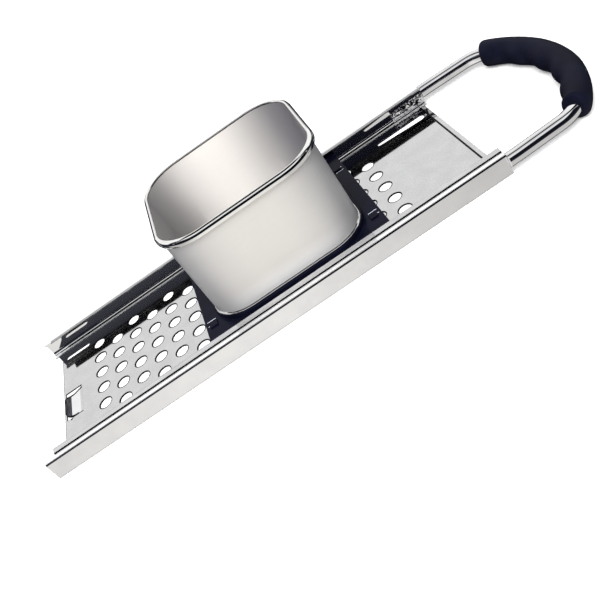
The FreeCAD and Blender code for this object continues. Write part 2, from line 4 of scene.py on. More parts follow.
import bmesh
import bpy
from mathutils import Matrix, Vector


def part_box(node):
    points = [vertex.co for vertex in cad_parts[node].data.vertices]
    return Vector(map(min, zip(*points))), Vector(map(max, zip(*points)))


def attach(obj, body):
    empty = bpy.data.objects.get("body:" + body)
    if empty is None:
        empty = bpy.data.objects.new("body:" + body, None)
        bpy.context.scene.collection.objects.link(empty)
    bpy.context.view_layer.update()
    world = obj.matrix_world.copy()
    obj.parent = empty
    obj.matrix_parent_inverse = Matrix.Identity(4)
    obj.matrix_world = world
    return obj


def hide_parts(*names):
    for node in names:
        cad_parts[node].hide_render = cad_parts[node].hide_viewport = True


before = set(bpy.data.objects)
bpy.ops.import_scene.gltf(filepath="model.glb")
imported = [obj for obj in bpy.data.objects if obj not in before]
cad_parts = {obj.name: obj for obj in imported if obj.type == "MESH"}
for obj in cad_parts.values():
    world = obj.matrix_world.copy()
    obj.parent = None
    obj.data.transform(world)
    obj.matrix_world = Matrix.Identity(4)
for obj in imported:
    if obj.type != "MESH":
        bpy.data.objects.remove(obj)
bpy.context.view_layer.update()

MM = 0.001

# Places read from the frame, in metres.
WALL_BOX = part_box("left_wall")
FLANGE_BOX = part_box("left_flange")
GRIP_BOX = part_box("handle_grip")
HOPPER_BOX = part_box("hopper")
TONGUE_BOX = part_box("stop_tongue")
CLIPS_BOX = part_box("frame_clips")
FRONT = WALL_BOX[0].x
REAR = WALL_BOX[1].x
WALL_IN = WALL_BOX[0].y
WALL_OUT = WALL_BOX[1].y
LIP_TIP = FLANGE_BOX[0].y
LIP_TOP = FLANGE_BOX[1].z
SHEET = WALL_OUT - WALL_IN
STRIP_TOP = FLANGE_BOX[0].z + SHEET
COLLAR_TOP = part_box("carriage_frame")[1].z

# How far a finishing piece stands off the solid under it, so that no two faces coincide.
STAND_OFF = 0.03 * MM

# Tray folds: the outer one has a flat flank, FOLD_TILT degrees down from level, between two tight bends.
# RIDGE_POINTS are the points of the floor's low ridge, as shares of its half width from its middle.
FOLD_RADIUS = 0.5 * MM
FOLD_FLANK = 0.8 * MM
FOLD_TILT = 61
WALL_LEAN = 0.35 * MM
FLOOR_FOLD = 2.6 * MM
STRIP_WIDTH = 4.15 * MM
LIP_STEP = 0.85 * MM
LIP_RUN = 0.42 * MM
LIP_EDGE = 0.15 * MM
LIP_SETBACK = 6.5 * MM
RIDGE_FROM_WALL = 3.9 * MM
RIDGE_HEIGHT = 0.2 * MM
RIDGE_HALF = 0.4 * MM
RIDGE_POINTS = (-0.6, 0.1, 0.9)

# Dark lines across the plate: painted shade in the bend before its turned-down end, and its cut front
# edge, whose slanted corners take EDGE_SLANT off the line's half length.
BEND_SHADE_FROM_REAR = 4.7 * MM
BEND_SHADE_WIDTH = 1.3 * MM
EDGE_WIDTH = 0.35 * MM
EDGE_SETBACK = 5.5 * MM
EDGE_SLANT = 13 * MM

# The plate's holes: staggered columns, long and short by turns, each hole with a rolled-over edge, drawn
# dark: partly the punched edge's dullness, partly painted shade.
HOLE_RADIUS = 4.15 * MM
HOLE_START = 34.1 * MM
HOLE_COLUMN_PITCH = 13.47 * MM
HOLE_ROW_PITCH = 15.3 * MM
HOLE_COLUMNS = 16
LONG_COLUMN = 6
SHORT_COLUMN = 5
HOLE_EDGE_WIDTH = 0.6 * MM
HOLE_EDGE_OVERHANG = 0.12 * MM
HOLE_SIDES = 32

# Stop tongue: level for a first share of its length, then curved up; its outline rounds off near the tip.
# Its near edge is the one towards -Y, its far edge the one towards +Y.
TONGUE_SHIFT = 0.3 * MM
TONGUE_ROOT_REACH = 4.3 * MM
TONGUE_TIP_INSET = 0.5 * MM
TONGUE_LEVEL = 0.4
TONGUE_CURL = 2.4
TONGUE_ROUND_FROM = 0.8
TONGUE_ROUND = 3 * MM
TONGUE_STEPS = 20
TONGUE_ROOT_STEPS = 3
TONGUE_TIP_STEPS = 6
# Dark strips along the tongue's far and near edges: painted shade, partly the cut edge's own dullness.
FAR_EDGE_SHADE_WIDTH = 1.5 * MM
NEAR_EDGE_SHADE_WIDTH = 0.85 * MM
NEAR_EDGE_SHADE_FROM = 0.3

# Hopper. FLARE and BRIM spread its wall where it sits on the collar; the foot of its outside is painted
# brighter, up to the height set below: painted light.
HOPPER_WALL = 0.6 * MM
HOPPER_MIDDLE = (HOPPER_BOX[0] + HOPPER_BOX[1]) / 2
HOPPER_CORNER = 23.2 * MM
HOPPER_BOTTOM_CORNER = 20.5 * MM
FOOT_WIDTH = 3.6 * MM
FOOT_BEND = 1.2 * MM
FLARE = 0.4 * MM
BRIM = 0.4 * MM
RIM_CURL = 0.72 * MM
# How deep, under the curl, the inside is drawn dark: painted shade.
RIM_SHADE = 0.45 * MM
# How far above the collar the outside is painted brighter: painted light.
FOOT_LIGHT_HEIGHT = 14 * MM
# The rolled rim from its curl outward, as its rolls left it: facets, each with its tilt down from level in
# degrees and its width in mm. The narrow facets are the bends between the wide ones.
RIM_FACETS = ((4, 0.4), (27, 0.06), (30.5, 0.8), (34, 0.06), (44, 0.65), (60, 0.08), (67, 1.0), (74, 0.08),
              (87, 0.9), (98, 0.8))

# Ribs beside the clips, and how far the clips' hooks stand above the frame.
CLIP_HOOK = 0.8 * MM
RIB_FROM_END = 1.0 * MM
RIB_LENGTH = 5.5 * MM
RIB_HALF = 0.22 * MM
RIB_HEIGHT = RIB_HALF * 1.4
RIBS_INWARD = (3.2 * MM, 7.2 * MM)

# Handle tube: a bow, two corners and two legs whose ends are pressed flat.
TUBE_RADIUS = 4 * MM
TUBE_Z = (GRIP_BOX[0].z + GRIP_BOX[1].z) / 2
GRIP_RADIUS = 8 * MM
BOW_RADIUS = 82 * MM
BOW_X = GRIP_BOX[1].x - GRIP_RADIUS - BOW_RADIUS
CORNER_RADIUS = 20 * MM
LEG_INSET = 0.35 * MM
LEG_CLOSING = 1.3 * MM
LEG_START = REAR + 6 * MM
LEG_SHOULDER = 0.2 * MM
LEG_Y = WALL_IN - LEG_INSET
FLAT_LENGTH = 23 * MM
FLAT_HALF = 1.7 * MM
FLAT_PLAY = 0.65 * MM
FLAT_STEPS = 8
CORNER_Y = LEG_Y - LEG_CLOSING - CORNER_RADIUS
CORNER_X = BOW_X + math.sqrt((BOW_RADIUS - CORNER_RADIUS) ** 2 - CORNER_Y ** 2)
BOW_TURN = math.atan2(CORNER_Y, CORNER_X - BOW_X)
JOINT_X = BOW_X + BOW_RADIUS * math.cos(BOW_TURN)

# Grip: how far it wraps round the corners, its rounded ends, its finger waves and its slimmer ends.
GRIP_WRAP = 4.1 * MM
GRIP_END_ROUND = 3 * MM
GRIP_END_WALL = 1.2 * MM
FINGER_PITCH = 22.5 * MM
FINGER_DEPTH = 0.85 * MM
FINGER_SHIFT = 5.3 * MM
FINGER_HOLLOW = 0.2 * MM
WAIST_DEPTH = 0.45 * MM
WAIST_FROM = 14 * MM
WAIST_RUN = 20 * MM
GRIP_SIDES = 40

# The camera: its place from the middle of the tray's rear end, in mm, its turn about X, Y and Z, in
# degrees, and its lens and sensor, in mm.
CAMERA_FROM_REAR = (-94.1, -396.6, 246.26)
CAMERA_TURN = (48.757, 29.752, -17.899)
CAMERA_LENS = 47.88
CAMERA_SENSOR = 36

# The studio: half the floor's side, how far it lies under the tool and how much it brightens itself for
# the camera; the even light's strength; the lamp's side, its place and its power in watts.
FLOOR_REACH = 6.0
FLOOR_DROP = 0.05 * MM
FLOOR_GLOW = 0.16
EVEN_LIGHT = 0.62
LAMP_SIDE = 2.0
LAMP_PLACE = (-0.4, -1.6, 2.2)
LAMP_POWER = 120

# Sockets of a mix node that mixes two colours: its three inputs and its output.
SHARE, FIRST, SECOND, MIXED = 0, 6, 7, 2

# The range of a noise that a pattern uses: most of it, or only the middle for a stronger pattern.
MOST = {"From Min": 0.3, "From Max": 0.7}
MIDDLE = {"From Min": 0.35, "From Max": 0.65}


# ---------------------------------------------------------------- material helpers


def tone(code):
    """An sRGB hex colour as linear RGBA."""
    channels = [int(code[k:k + 2], 16) / 255 for k in (1, 3, 5)]
    linear = [c / 12.92 if c <= 0.04045 else ((c + 0.055) / 1.055) ** 2.4 for c in channels]
    return (*linear, 1)


def add(tree, kind, links=None, **settings):
    """Adds a node with its settings and links.

    links gives each input a value, a hex colour or the socket that feeds it.
    """
    node = tree.nodes.new(kind)
    for name, value in settings.items():
        setattr(node, name, value)
    for key, value in (links or {}).items():
        if isinstance(value, bpy.types.NodeSocket):
            tree.links.new(value, node.inputs[key])
        elif isinstance(value, str):
            node.inputs[key].default_value = tone(value)
        else:
            node.inputs[key].default_value = value
    return node


def new_material(name):
    """A material with only its output; returns it, its tree and the surface socket."""
    material = bpy.data.materials.new(name)
    material.use_nodes = True
    tree = material.node_tree
    tree.nodes.clear()
    output = add(tree, "ShaderNodeOutputMaterial")
    return material, tree, output.inputs["Surface"]


def grain(tree, size_mm, stretch=(1, 1, 1), detail=3.0, roughness=0.5):
    """Noise whose grain is size_mm wide, in the object's own coordinates, stretched along the axes."""
    place = add(tree, "ShaderNodeTexCoord")
    scale = [1 / (size_mm * MM * times) for times in stretch]
    mapping = add(tree, "ShaderNodeMapping", {"Vector": place.outputs["Object"], "Scale": scale})
    noise = add(tree, "ShaderNodeTexNoise", {"Vector": mapping.outputs[0], "Scale": 1.0,
                                             "Detail": detail, "Roughness": roughness})
    return noise.outputs["Fac"]


def cloudy(tree, pattern, first, second):
    """A colour that drifts from first to second as the pattern rises through its middle."""
    share = add(tree, "ShaderNodeMapRange", {"Value": pattern, **MIDDLE})
    mixed = add(tree, "ShaderNodeMix", {SHARE: share.outputs[0], FIRST: first, SECOND: second},
                data_type="RGBA")
    return mixed.outputs[MIXED]


def facing(tree, axis, low, high, both_ways=True):
    """0 to 1 as a face turns from low to high along an axis; both_ways takes either direction."""
    shape = add(tree, "ShaderNodeNewGeometry")
    parts = add(tree, "ShaderNodeSeparateXYZ", {"Vector": shape.outputs["True Normal"]})
    turned = parts.outputs[axis]
    if both_ways:
        turned = add(tree, "ShaderNodeMath", {0: turned}, operation="ABSOLUTE").outputs[0]
    return add(tree, "ShaderNodeMapRange", {"Value": turned, "From Min": low, "From Max": high}).outputs[0]


def bumped(tree, height, depth_mm, edge_mm=0.0):
    """A normal that follows the height, on edges rounded by edge_mm."""
    links = {"Height": height, "Distance": depth_mm * MM, "Strength": 1.0}
    if edge_mm:
        edge = add(tree, "ShaderNodeBevel", {"Radius": edge_mm * MM}, samples=6)
        links["Normal"] = edge.outputs[0]
    return add(tree, "ShaderNodeBump", links).outputs[0]


# ---------------------------------------------------------------- polished steels


# Kinds of face, as facing() takes them: undersides, which stay rough and are darkened as painted shade;
# cut edges, rough and dark, their darkness partly painted shade; and level faces.
UNDERSIDES = ("Z", -0.3, -0.6, False)
CUT_EDGES = ("Z", 0.55, 0.45)
LEVEL_FACES = ("Z", 0.975, 0.99)

# Width and depth, in mm, of the waves in a surface, left by the rolling mill or by pressing a tube flat.
ROLLED = (14.0, 0.012)
PRESSED = (2.4, 0.5)


def polished_steel(name, light, dark, dull=None, rough=0.03, edge_mm=0.25, mottle=0.0, along=1.0, worn=0.0,
                   ripple=ROLLED):
    """Stainless sheet, buffed bright: faint cloudy wipe marks and mottling from rolling, drawn out along X.

    dull is the kind of face that stays rough and is darkened: painted shade, which on cut edges is partly
    their own dullness.
    mottle is how strong the mottling is, along how far the rolls drew it out. It is drawn many times as
    coarse as the sheet's real grain, so that it shows.
    worn is how far use has turned the level faces from a mirror to a white, scattering surface.
    ripple is the width and depth of its waves, such as ROLLED or PRESSED.
    """
    material, tree, surface = new_material(name)
    colour = cloudy(tree, grain(tree, 9.0, detail=4.0), light, dark)
    if mottle:
        rolled = grain(tree, 0.9, stretch=(along, 1, 1), detail=4.0)
        speck = add(tree, "ShaderNodeMapRange", {"Value": rolled, **MIDDLE,
                                                 "To Min": 0.0, "To Max": mottle})
        colour = add(tree, "ShaderNodeMix", {SHARE: speck.outputs[0], FIRST: colour, SECOND: "#77777a"},
                     data_type="RGBA").outputs[MIXED]
    wipe = grain(tree, 1.2, stretch=(12, 1, 1), detail=2.0)
    shine = add(tree, "ShaderNodeMapRange", {"Value": wipe, **MOST, "To Min": rough,
                                             "To Max": rough + 0.03}).outputs[0]
    # Painted shade: faces of the dull kind turn dark grey and rough.
    if dull:
        share = facing(tree, *dull)
        colour = add(tree, "ShaderNodeMix", {SHARE: share, FIRST: colour, SECOND: "#3a3a3e"},
                     data_type="RGBA").outputs[MIXED]
        shine = add(tree, "ShaderNodeMix", {"Factor": share, "A": shine, "B": 0.45},
                    data_type="FLOAT").outputs[0]
    mirror = 1.0
    if worn:
        level = facing(tree, *LEVEL_FACES)
        scattering = add(tree, "ShaderNodeMath", {0: level, 1: worn}, operation="MULTIPLY").outputs[0]
        mirror = add(tree, "ShaderNodeMath", {0: 1.0, 1: scattering}, operation="SUBTRACT").outputs[0]
    wave_width, wave_depth = ripple
    waves = grain(tree, wave_width, detail=1.0)
    shader = add(tree, "ShaderNodeBsdfPrincipled", {
        "Base Color": colour, "Metallic": mirror, "Roughness": shine,
        "Normal": bumped(tree, waves, wave_depth, edge_mm)})
    tree.links.new(shader.outputs[0], surface)
    return material


def fold_steel():
    """Rolled stainless strip, bent and buffed: a mirror whose level faces are worn pale by wiping, and whose
    undersides are darkened as painted shade.
    """
    return polished_steel("polished_stainless_fold", "#f0f0f0", "#eaeaeb", dull=UNDERSIDES, worn=0.4)


def lip_steel():
    """Rolled stainless edge strip, left less bright: long streaks from the rolls and a pale, worn face; its
    undersides are darkened as painted shade.
    """
    return polished_steel("rolled_stainless_lip", "#c2c2c3", "#b8b8b9", dull=UNDERSIDES, rough=0.05,
                          mottle=0.4, along=120.0, worn=0.6)


def plate_steel():
    """Punched stainless sheet, buffed after punching: a mirror, finely mottled, with dark cut edges, their
    darkness partly painted shade.
    """
    return polished_steel("polished_stainless_plate", "#dcdcdc", "#d5d5d6", dull=CUT_EDGES, rough=0.04,
                          edge_mm=0.35, mottle=0.17)


def highlight_tongue_steel():
    """Lanced stainless, a brighter copy of the plate's steel for the bend: painted highlight."""
    return polished_steel("polished_stainless_tongue_painted_highlight", "#f4f4f4", "#eeeeef")


def tube_steel():
    """Bright-drawn stainless tube: long clean reflections."""
    return polished_steel("bright_drawn_stainless_tube", "#f0f0f1", "#e4e4e6", rough=0.02, edge_mm=0.0)


def pressed_steel():
    """The same tube pressed flat: dents that break its reflections up."""
    return polished_steel("pressed_stainless_tube_end", "#f0f0f1", "#e4e4e6", rough=0.02, edge_mm=0.0,
                          ripple=PRESSED)


def bead_steel():
    """Rolled stainless rim, buffed on the wheel: clean bright and dark lines along its facets."""
    return polished_steel("buffed_stainless_bead", "#f6f5f3", "#efeeec", edge_mm=0.0)


# ---------------------------------------------------------------- dull steels


def torn_steel(name, dark, light, size_mm, stretch=(1, 1, 1)):
    """Dull, dark stainless with tear marks size_mm wide, for cut edges and for painted shade.

    The marks are drawn about three times as coarse as real ones, so that they show.
    """
    material, tree, surface = new_material(name)
    tear = grain(tree, size_mm, stretch)
    shine = add(tree, "ShaderNodeMapRange", {"Value": tear, **MOST, "To Min": 0.45, "To Max": 0.6})
    shader = add(tree, "ShaderNodeBsdfPrincipled", {
        "Base Color": cloudy(tree, tear, dark, light), "Metallic": 1.0,
        "Roughness": shine.outputs[0], "Normal": bumped(tree, tear, 0.02)})
    tree.links.new(shader.outputs[0], surface)
    return material


def sheared_and_shade_steel():
    """Dark stainless for thin lines: partly cut edges as the punch or shear left them, partly painted shade.
    """
    return torn_steel("sheared_stainless_edge_and_painted_shade", "#1a1a1c", "#2c2c30", 0.6)


def shaded_tip_steel():
    """Stainless tip drawn dark, as painted shade, with marks that run across it."""
    return torn_steel("stainless_tip_painted_shade", "#101012", "#6e6e74", 0.35, stretch=(1, 16, 16))


def satin_steel(name, middle, edge, offset_mm, spread_mm, metallic, rough, foot_shine=0.0):
    """Deep-drawn stainless, finely brushed round the hopper. Its colour is painted light and shade: brightest
    in the middle of its long walls, and darker towards the tight corners.

    foot_shine is how far the foot of the wall is painted brighter towards the collar: painted light.
    The brushed lines are drawn about three times as coarse as real ones, so that they show.
    """
    material, tree, surface = new_material(name)
    lines = grain(tree, 0.35, stretch=(30, 30, 1), detail=3.0)
    place = add(tree, "ShaderNodeTexCoord")
    parts = add(tree, "ShaderNodeSeparateXYZ", {"Vector": place.outputs["Object"]})
    centre = HOPPER_MIDDLE.x + offset_mm * MM
    along = add(tree, "ShaderNodeMath", {0: parts.outputs["X"], 1: centre}, operation="SUBTRACT")
    away = add(tree, "ShaderNodeMath", {0: along.outputs[0]}, operation="ABSOLUTE")
    near, far = spread_mm
    # Painted shade: the colour darkens from middle to edge away from the middle of X.
    corner_shade = add(tree, "ShaderNodeMapRange", {
        "Value": away.outputs[0], "From Min": near * MM, "From Max": far * MM},
        interpolation_type="SMOOTHSTEP")
    # Painted light: the foot of the wall turns towards white near the collar.
    foot_light = add(tree, "ShaderNodeMapRange", {
        "Value": parts.outputs["Z"], "From Min": COLLAR_TOP + FOOT_LIGHT_HEIGHT, "From Max": COLLAR_TOP,
        "To Min": 0.0, "To Max": foot_shine},
        interpolation_type="SMOOTHSTEP")
    clean = add(tree, "ShaderNodeMix", {SHARE: foot_light.outputs[0], FIRST: middle, SECOND: "#ffffff"},
                data_type="RGBA")
    lit_and_shaded = add(tree, "ShaderNodeMix", {SHARE: corner_shade.outputs[0], FIRST: clean.outputs[MIXED], SECOND: edge},
               data_type="RGBA")
    depth = add(tree, "ShaderNodeMapRange", {"Value": lines, **MOST, "To Min": 0.0, "To Max": 0.05})
    colour = add(tree, "ShaderNodeMix", {SHARE: depth.outputs[0], FIRST: lit_and_shaded.outputs[MIXED],
                                         SECOND: "#8c8a88"}, data_type="RGBA")
    shine = add(tree, "ShaderNodeMapRange", {"Value": lines, **MOST, "To Min": rough,
                                             "To Max": rough + 0.06})
    shader = add(tree, "ShaderNodeBsdfPrincipled", {
        "Base Color": colour.outputs[MIXED], "Metallic": metallic, "Roughness": shine.outputs[0],
        "Normal": bumped(tree, lines, 0.004)})
    tree.links.new(shader.outputs[0], surface)
    return material


def inside_steel():
    """Inside of the hopper, matt from washing, scattering most of its light; painted light and shade."""
    return satin_steel("satin_stainless_hopper_inside", "#fffaf4", "#737278", offset_mm=-5,
                       spread_mm=(2, 53), metallic=0.15, rough=0.4)


def outside_steel():
    """Outside of the hopper, soft metal sheen; painted light and shade, with a brighter foot."""
    return satin_steel("satin_stainless_hopper_outside", "#d1cec9", "#97979b", offset_mm=0,
                       spread_mm=(9, 59), metallic=0.5, rough=0.42, foot_shine=0.8)


def weld_steel():
    """Fused stainless bead, dull and slightly straw tinted from the heat."""
    material, tree, surface = new_material("stainless_weld_bead")
    heat = grain(tree, 2.0)
    shine = add(tree, "ShaderNodeMapRange", {"Value": heat, **MOST, "To Min": 0.25, "To Max": 0.5})
    shader = add(tree, "ShaderNodeBsdfPrincipled", {
        "Base Color": cloudy(tree, heat, "#a9a39a", "#6f6c72"), "Metallic": 1.0,
        "Roughness": shine.outputs[0], "Normal": bumped(tree, grain(tree, 0.7), 0.08)})
    tree.links.new(shader.outputs[0], surface)
    return material


# ---------------------------------------------------------------- plastics


def glossy_abs():
    """Injection moulded ABS, near black with a blue cast: a glossy skin with a faint orange peel."""
    material, tree, surface = new_material("glossy_moulded_abs")
    peel = grain(tree, 1.6, detail=2.0)
    wear = grain(tree, 5.0, stretch=(5, 1, 1), detail=5.0)
    shine = add(tree, "ShaderNodeMapRange", {"Value": wear, "From Min": 0.35, "From Max": 0.75,
                                             "To Min": 0.16, "To Max": 0.34})
    shader = add(tree, "ShaderNodeBsdfPrincipled", {
        "Base Color": cloudy(tree, wear, "#0a0b17", "#0f101f"), "Roughness": shine.outputs[0],
        "IOR": 1.53, "Specular IOR Level": 0.04, "Normal": bumped(tree, peel, 0.015, 0.3)})
    tree.links.new(shader.outputs[0], surface)
    return material


def highlight_abs():
    """The same ABS painted pale grey, as a painted highlight, with fine scratches.

    The scratches are drawn about four times as coarse as real ones, so that they show.
    """
    material, tree, surface = new_material("moulded_abs_painted_highlight")
    scratch = grain(tree, 0.4, detail=4.0)
    shine = add(tree, "ShaderNodeMapRange", {"Value": scratch, **MOST, "To Min": 0.4, "To Max": 0.6})
    shader = add(tree, "ShaderNodeBsdfPrincipled", {
        "Base Color": cloudy(tree, scratch, "#c4c6cf", "#7c7e88"), "Roughness": shine.outputs[0],
        "IOR": 1.53, "Normal": bumped(tree, scratch, 0.01)})
    tree.links.new(shader.outputs[0], surface)
    return material


def soft_rubber():
    """Thermoplastic rubber, moulded with a fine matt grain that scatters highlights into a soft sheen.

    The grain is drawn about three times as coarse as a real one, so that it shows.
    """
    material, tree, surface = new_material("matt_thermoplastic_rubber")
    skin = grain(tree, 0.5, detail=4.0, roughness=0.6)
    dust = grain(tree, 12.0, detail=3.0)
    shine = add(tree, "ShaderNodeMapRange", {"Value": skin, **MOST, "To Min": 0.5, "To Max": 0.62})
    shader = add(tree, "ShaderNodeBsdfPrincipled", {
        "Base Color": cloudy(tree, dust, "#0a0b18", "#0e1020"), "Roughness": shine.outputs[0],
        "IOR": 1.5, "Specular IOR Level": 0.09, "Normal": bumped(tree, skin, 0.03)})
    tree.links.new(shader.outputs[0], surface)
    return material


# ---------------------------------------------------------------- mesh helpers


def skin_rings(shell, rings, closed=True, caps=False, bands=()):
    """Skins a row of rings of points; closed joins the last ring to the first, caps fills both ends.

    bands gives the rings at which the next material begins.
    """
    rows = [[shell.verts.new(point) for point in ring] for ring in rings]
    pairs = list(zip(rows, rows[1:]))
    if closed:
        pairs.append((rows[-1], rows[0]))
    for step, (near, far) in enumerate(pairs):
        count = len(near)
        for k in range(count):
            after = (k + 1) % count
            face = shell.faces.new((near[k], near[after], far[after], far[k]))
            face.material_index = sum(step >= start for start in bands)
    if caps:
        shell.faces.new(rows[0][::-1])
        shell.faces.new(rows[-1])
    bmesh.ops.recalc_face_normals(shell, faces=shell.faces)


def shell_piece(name, shell, materials):
    """The finished shell as a piece of the scene, in its materials."""
    mesh = bpy.data.meshes.new(name)
    shell.to_mesh(mesh)
    shell.free()
    piece = bpy.data.objects.new(name, mesh)
    bpy.context.scene.collection.objects.link(piece)
    for material in materials:
        piece.data.materials.append(material)
    return piece


def ring_piece(name, rings, materials, closed=True, caps=False, sharp_degrees=40, bands=()):
    """A piece skinned over rings and shaded smooth, apart from edges that turn by sharp_degrees or more."""
    shell = bmesh.new()
    skin_rings(shell, rings, closed, caps, bands)
    for face in shell.faces:
        face.smooth = True
    piece = shell_piece(name, shell, materials)
    piece.data.set_sharp_from_angle(angle=math.radians(sharp_degrees))
    return piece


def rounded_ring(centre, half_length, half_width, radius, z, corner_steps=14, side_steps=6):
    """Points of a level rounded rectangle."""
    points = []
    reach_x, reach_y = half_length - radius, half_width - radius
    for turn, (side_x, side_y) in enumerate(((1, 1), (-1, 1), (-1, -1), (1, -1))):
        corner = Vector((centre.x + side_x * reach_x, centre.y + side_y * reach_y, z))
        for k in range(corner_steps + 1):
            angle = math.radians(90) * (turn + k / corner_steps)
            points.append(corner + Vector((math.cos(angle), math.sin(angle), 0)) * radius)
    ring = []
    for first, second in zip(points, points[1:] + points[:1]):
        ring.append(first)
        # A gap this long is a straight side, not a step round a corner.
        if (second - first).length > radius * 0.3:
            ring += [first.lerp(second, k / side_steps) for k in range(1, side_steps)]
    return ring


def arc_points(centre, radius, start, end, steps):
    """Points (outward, height) of an arc, its angles in degrees."""
    points = []
    for k in range(steps + 1):
        angle = math.radians(start + (end - start) * k / steps)
        points.append((centre[0] + radius * math.cos(angle), centre[1] + radius * math.sin(angle)))
    return points


# ---------------------------------------------------------------- tray


def rail_section():
    """Outline (distance from the middle, height) of one channel: floor, wall and top strip in one sheet."""
    floor = SHEET + STAND_OFF
    ridge = WALL_IN - RIDGE_FROM_WALL
    step = WALL_OUT - STRIP_WIDTH
    section = [(ridge - RIDGE_HALF, SHEET / 2), (ridge - RIDGE_HALF, floor)]
    section += [(ridge + RIDGE_HALF * side, floor + RIDGE_HEIGHT * (1 - abs(side))) for side in RIDGE_POINTS]
    section += arc_points((WALL_IN - FLOOR_FOLD, floor + FLOOR_FOLD), FLOOR_FOLD, -90, 0, steps=12)
    section += [(WALL_IN - WALL_LEAN, STRIP_TOP - SHEET), (step, STRIP_TOP - SHEET), (step, STRIP_TOP)]
    tilt = math.radians(FOLD_TILT)
    flank_out = FOLD_FLANK * math.cos(tilt)
    flank_down = FOLD_FLANK * math.sin(tilt)
    bend = WALL_OUT - WALL_LEAN - FOLD_RADIUS - flank_out
    section += arc_points((bend, STRIP_TOP - FOLD_RADIUS), FOLD_RADIUS, 90, 90 - FOLD_TILT, steps=6)
    section += arc_points((bend + flank_out, STRIP_TOP - FOLD_RADIUS - flank_down), FOLD_RADIUS,
                          90 - FOLD_TILT, 0, steps=4)
    section += arc_points((WALL_OUT - SHEET, SHEET), SHEET, 0, -90, steps=6)
    section += [(WALL_IN - SHEET, SHEET / 2)]
    return section


def lip_section():
    """Outline of the raised lip: a short slope lifts it off the strip, then it rises towards the middle."""
    foot = WALL_OUT - STRIP_WIDTH + STAND_OFF
    low = STRIP_TOP + STAND_OFF
    return [(foot, low - SHEET), (foot, low), (foot - LIP_RUN, low + LIP_STEP),
            (LIP_TIP + LIP_EDGE, LIP_TOP), (LIP_TIP, LIP_TOP - LIP_EDGE),
            (LIP_TIP, LIP_TOP - SHEET + LIP_EDGE)]


def make_rail(name, side, folds, lip):
    """One folded channel: its wall with the top strip, and the lip, which starts a little further back."""
    parts = (("channel", rail_section(), FRONT, folds),
             ("lip", lip_section(), FRONT + LIP_SETBACK, lip))
    for part, section, start, material in parts:
        rings = [[(x, side * out, z) for out, z in section] for x in (start, REAR)]
        piece = ring_piece(f"{name}_{part}", rings, [material], closed=False, caps=True, sharp_degrees=18)
        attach(piece, "tray")
        if part == "channel":
            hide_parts(name + "_wall", name + "_flange")


def tongue_places():
    """Along the tongue from its root: x, height of the top, its near and far edges, and the share done."""
    root, tip = TONGUE_BOX[1].x + TONGUE_SHIFT, TONGUE_BOX[0].x + TONGUE_SHIFT
    near = TONGUE_BOX[0].y
    root_far, tip_far = TONGUE_BOX[1].y + TONGUE_ROOT_REACH, TONGUE_BOX[1].y - TONGUE_TIP_INSET
    rise = TONGUE_BOX[1].z - SHEET
    places = []
    for k in range(TONGUE_STEPS + 1):
        share = k / TONGUE_STEPS
        curve = (max(share - TONGUE_LEVEL, 0) / (1 - TONGUE_LEVEL)) ** TONGUE_CURL
        top = SHEET + STAND_OFF + rise * curve
        rounding = max(share - TONGUE_ROUND_FROM, 0) / (1 - TONGUE_ROUND_FROM)
        inset = TONGUE_ROUND * (1 - math.sqrt(1 - rounding ** 2))
        far = root_far + (tip_far - root_far) * share
        places.append((root + (tip - root) * share, top, near + inset, far - inset, share))
    return places


def strip_ring(x, low_y, high_y, top):
    """Section of a piece of sheet that lies across X."""
    return [Vector((x, low_y, top)), Vector((x, high_y, top)),
            Vector((x, high_y, top - SHEET)), Vector((x, low_y, top - SHEET))]


def make_tongue(plain, bright, tip, dull):
    """Tongue lanced from the plate: a level root, a rising curve drawn brighter as a painted highlight, a tip
    drawn dark and both edges lined dark, as painted shade.
    """
    body, far_edge_shade, near_edge_shade = [], [], []
    for x, top, near, far, share in tongue_places():
        body.append(strip_ring(x, near, far, top))
        # Dark strips along both edges: painted shade.
        far_edge_shade.append(strip_ring(x, far - FAR_EDGE_SHADE_WIDTH, far + STAND_OFF, top + STAND_OFF))
        if share >= NEAR_EDGE_SHADE_FROM:
            near_edge_shade.append(strip_ring(x, near - STAND_OFF, near + NEAR_EDGE_SHADE_WIDTH, top + STAND_OFF))
    turns = (TONGUE_ROOT_STEPS, TONGUE_STEPS - TONGUE_TIP_STEPS)
    # The bend is in the brighter copy of the plate's steel: painted highlight.
    pieces = (("stop_tongue_bent", body, [plain, bright, tip], turns),
              ("stop_tongue_far_edge_shade", far_edge_shade, [dull], ()),
              ("stop_tongue_near_edge_shade", near_edge_shade, [dull], ()))
    for name, rings, materials, bands in pieces:
        piece = ring_piece(name, rings, materials, closed=False, caps=True, sharp_degrees=35, bands=bands)
        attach(piece, "tray")
        if name == "stop_tongue_bent":
            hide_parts("stop_tongue")


def make_cross_line(name, x, width, reach, material):
    """Thin dark line across the tray: a cut edge of the sheet, and painted shade where the sheet is bent
    down.
    """
    section = [(-width / 2, SHEET - STAND_OFF), (-width / 4, SHEET + 2 * STAND_OFF),
               (width / 4, SHEET + 2 * STAND_OFF), (width / 2, SHEET - STAND_OFF)]
    rings = [[(x + out, y, z) for out, z in section] for y in (-reach, reach)]
    piece = ring_piece(name, rings, [material], closed=False, caps=True, sharp_degrees=30)
    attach(piece, "tray")


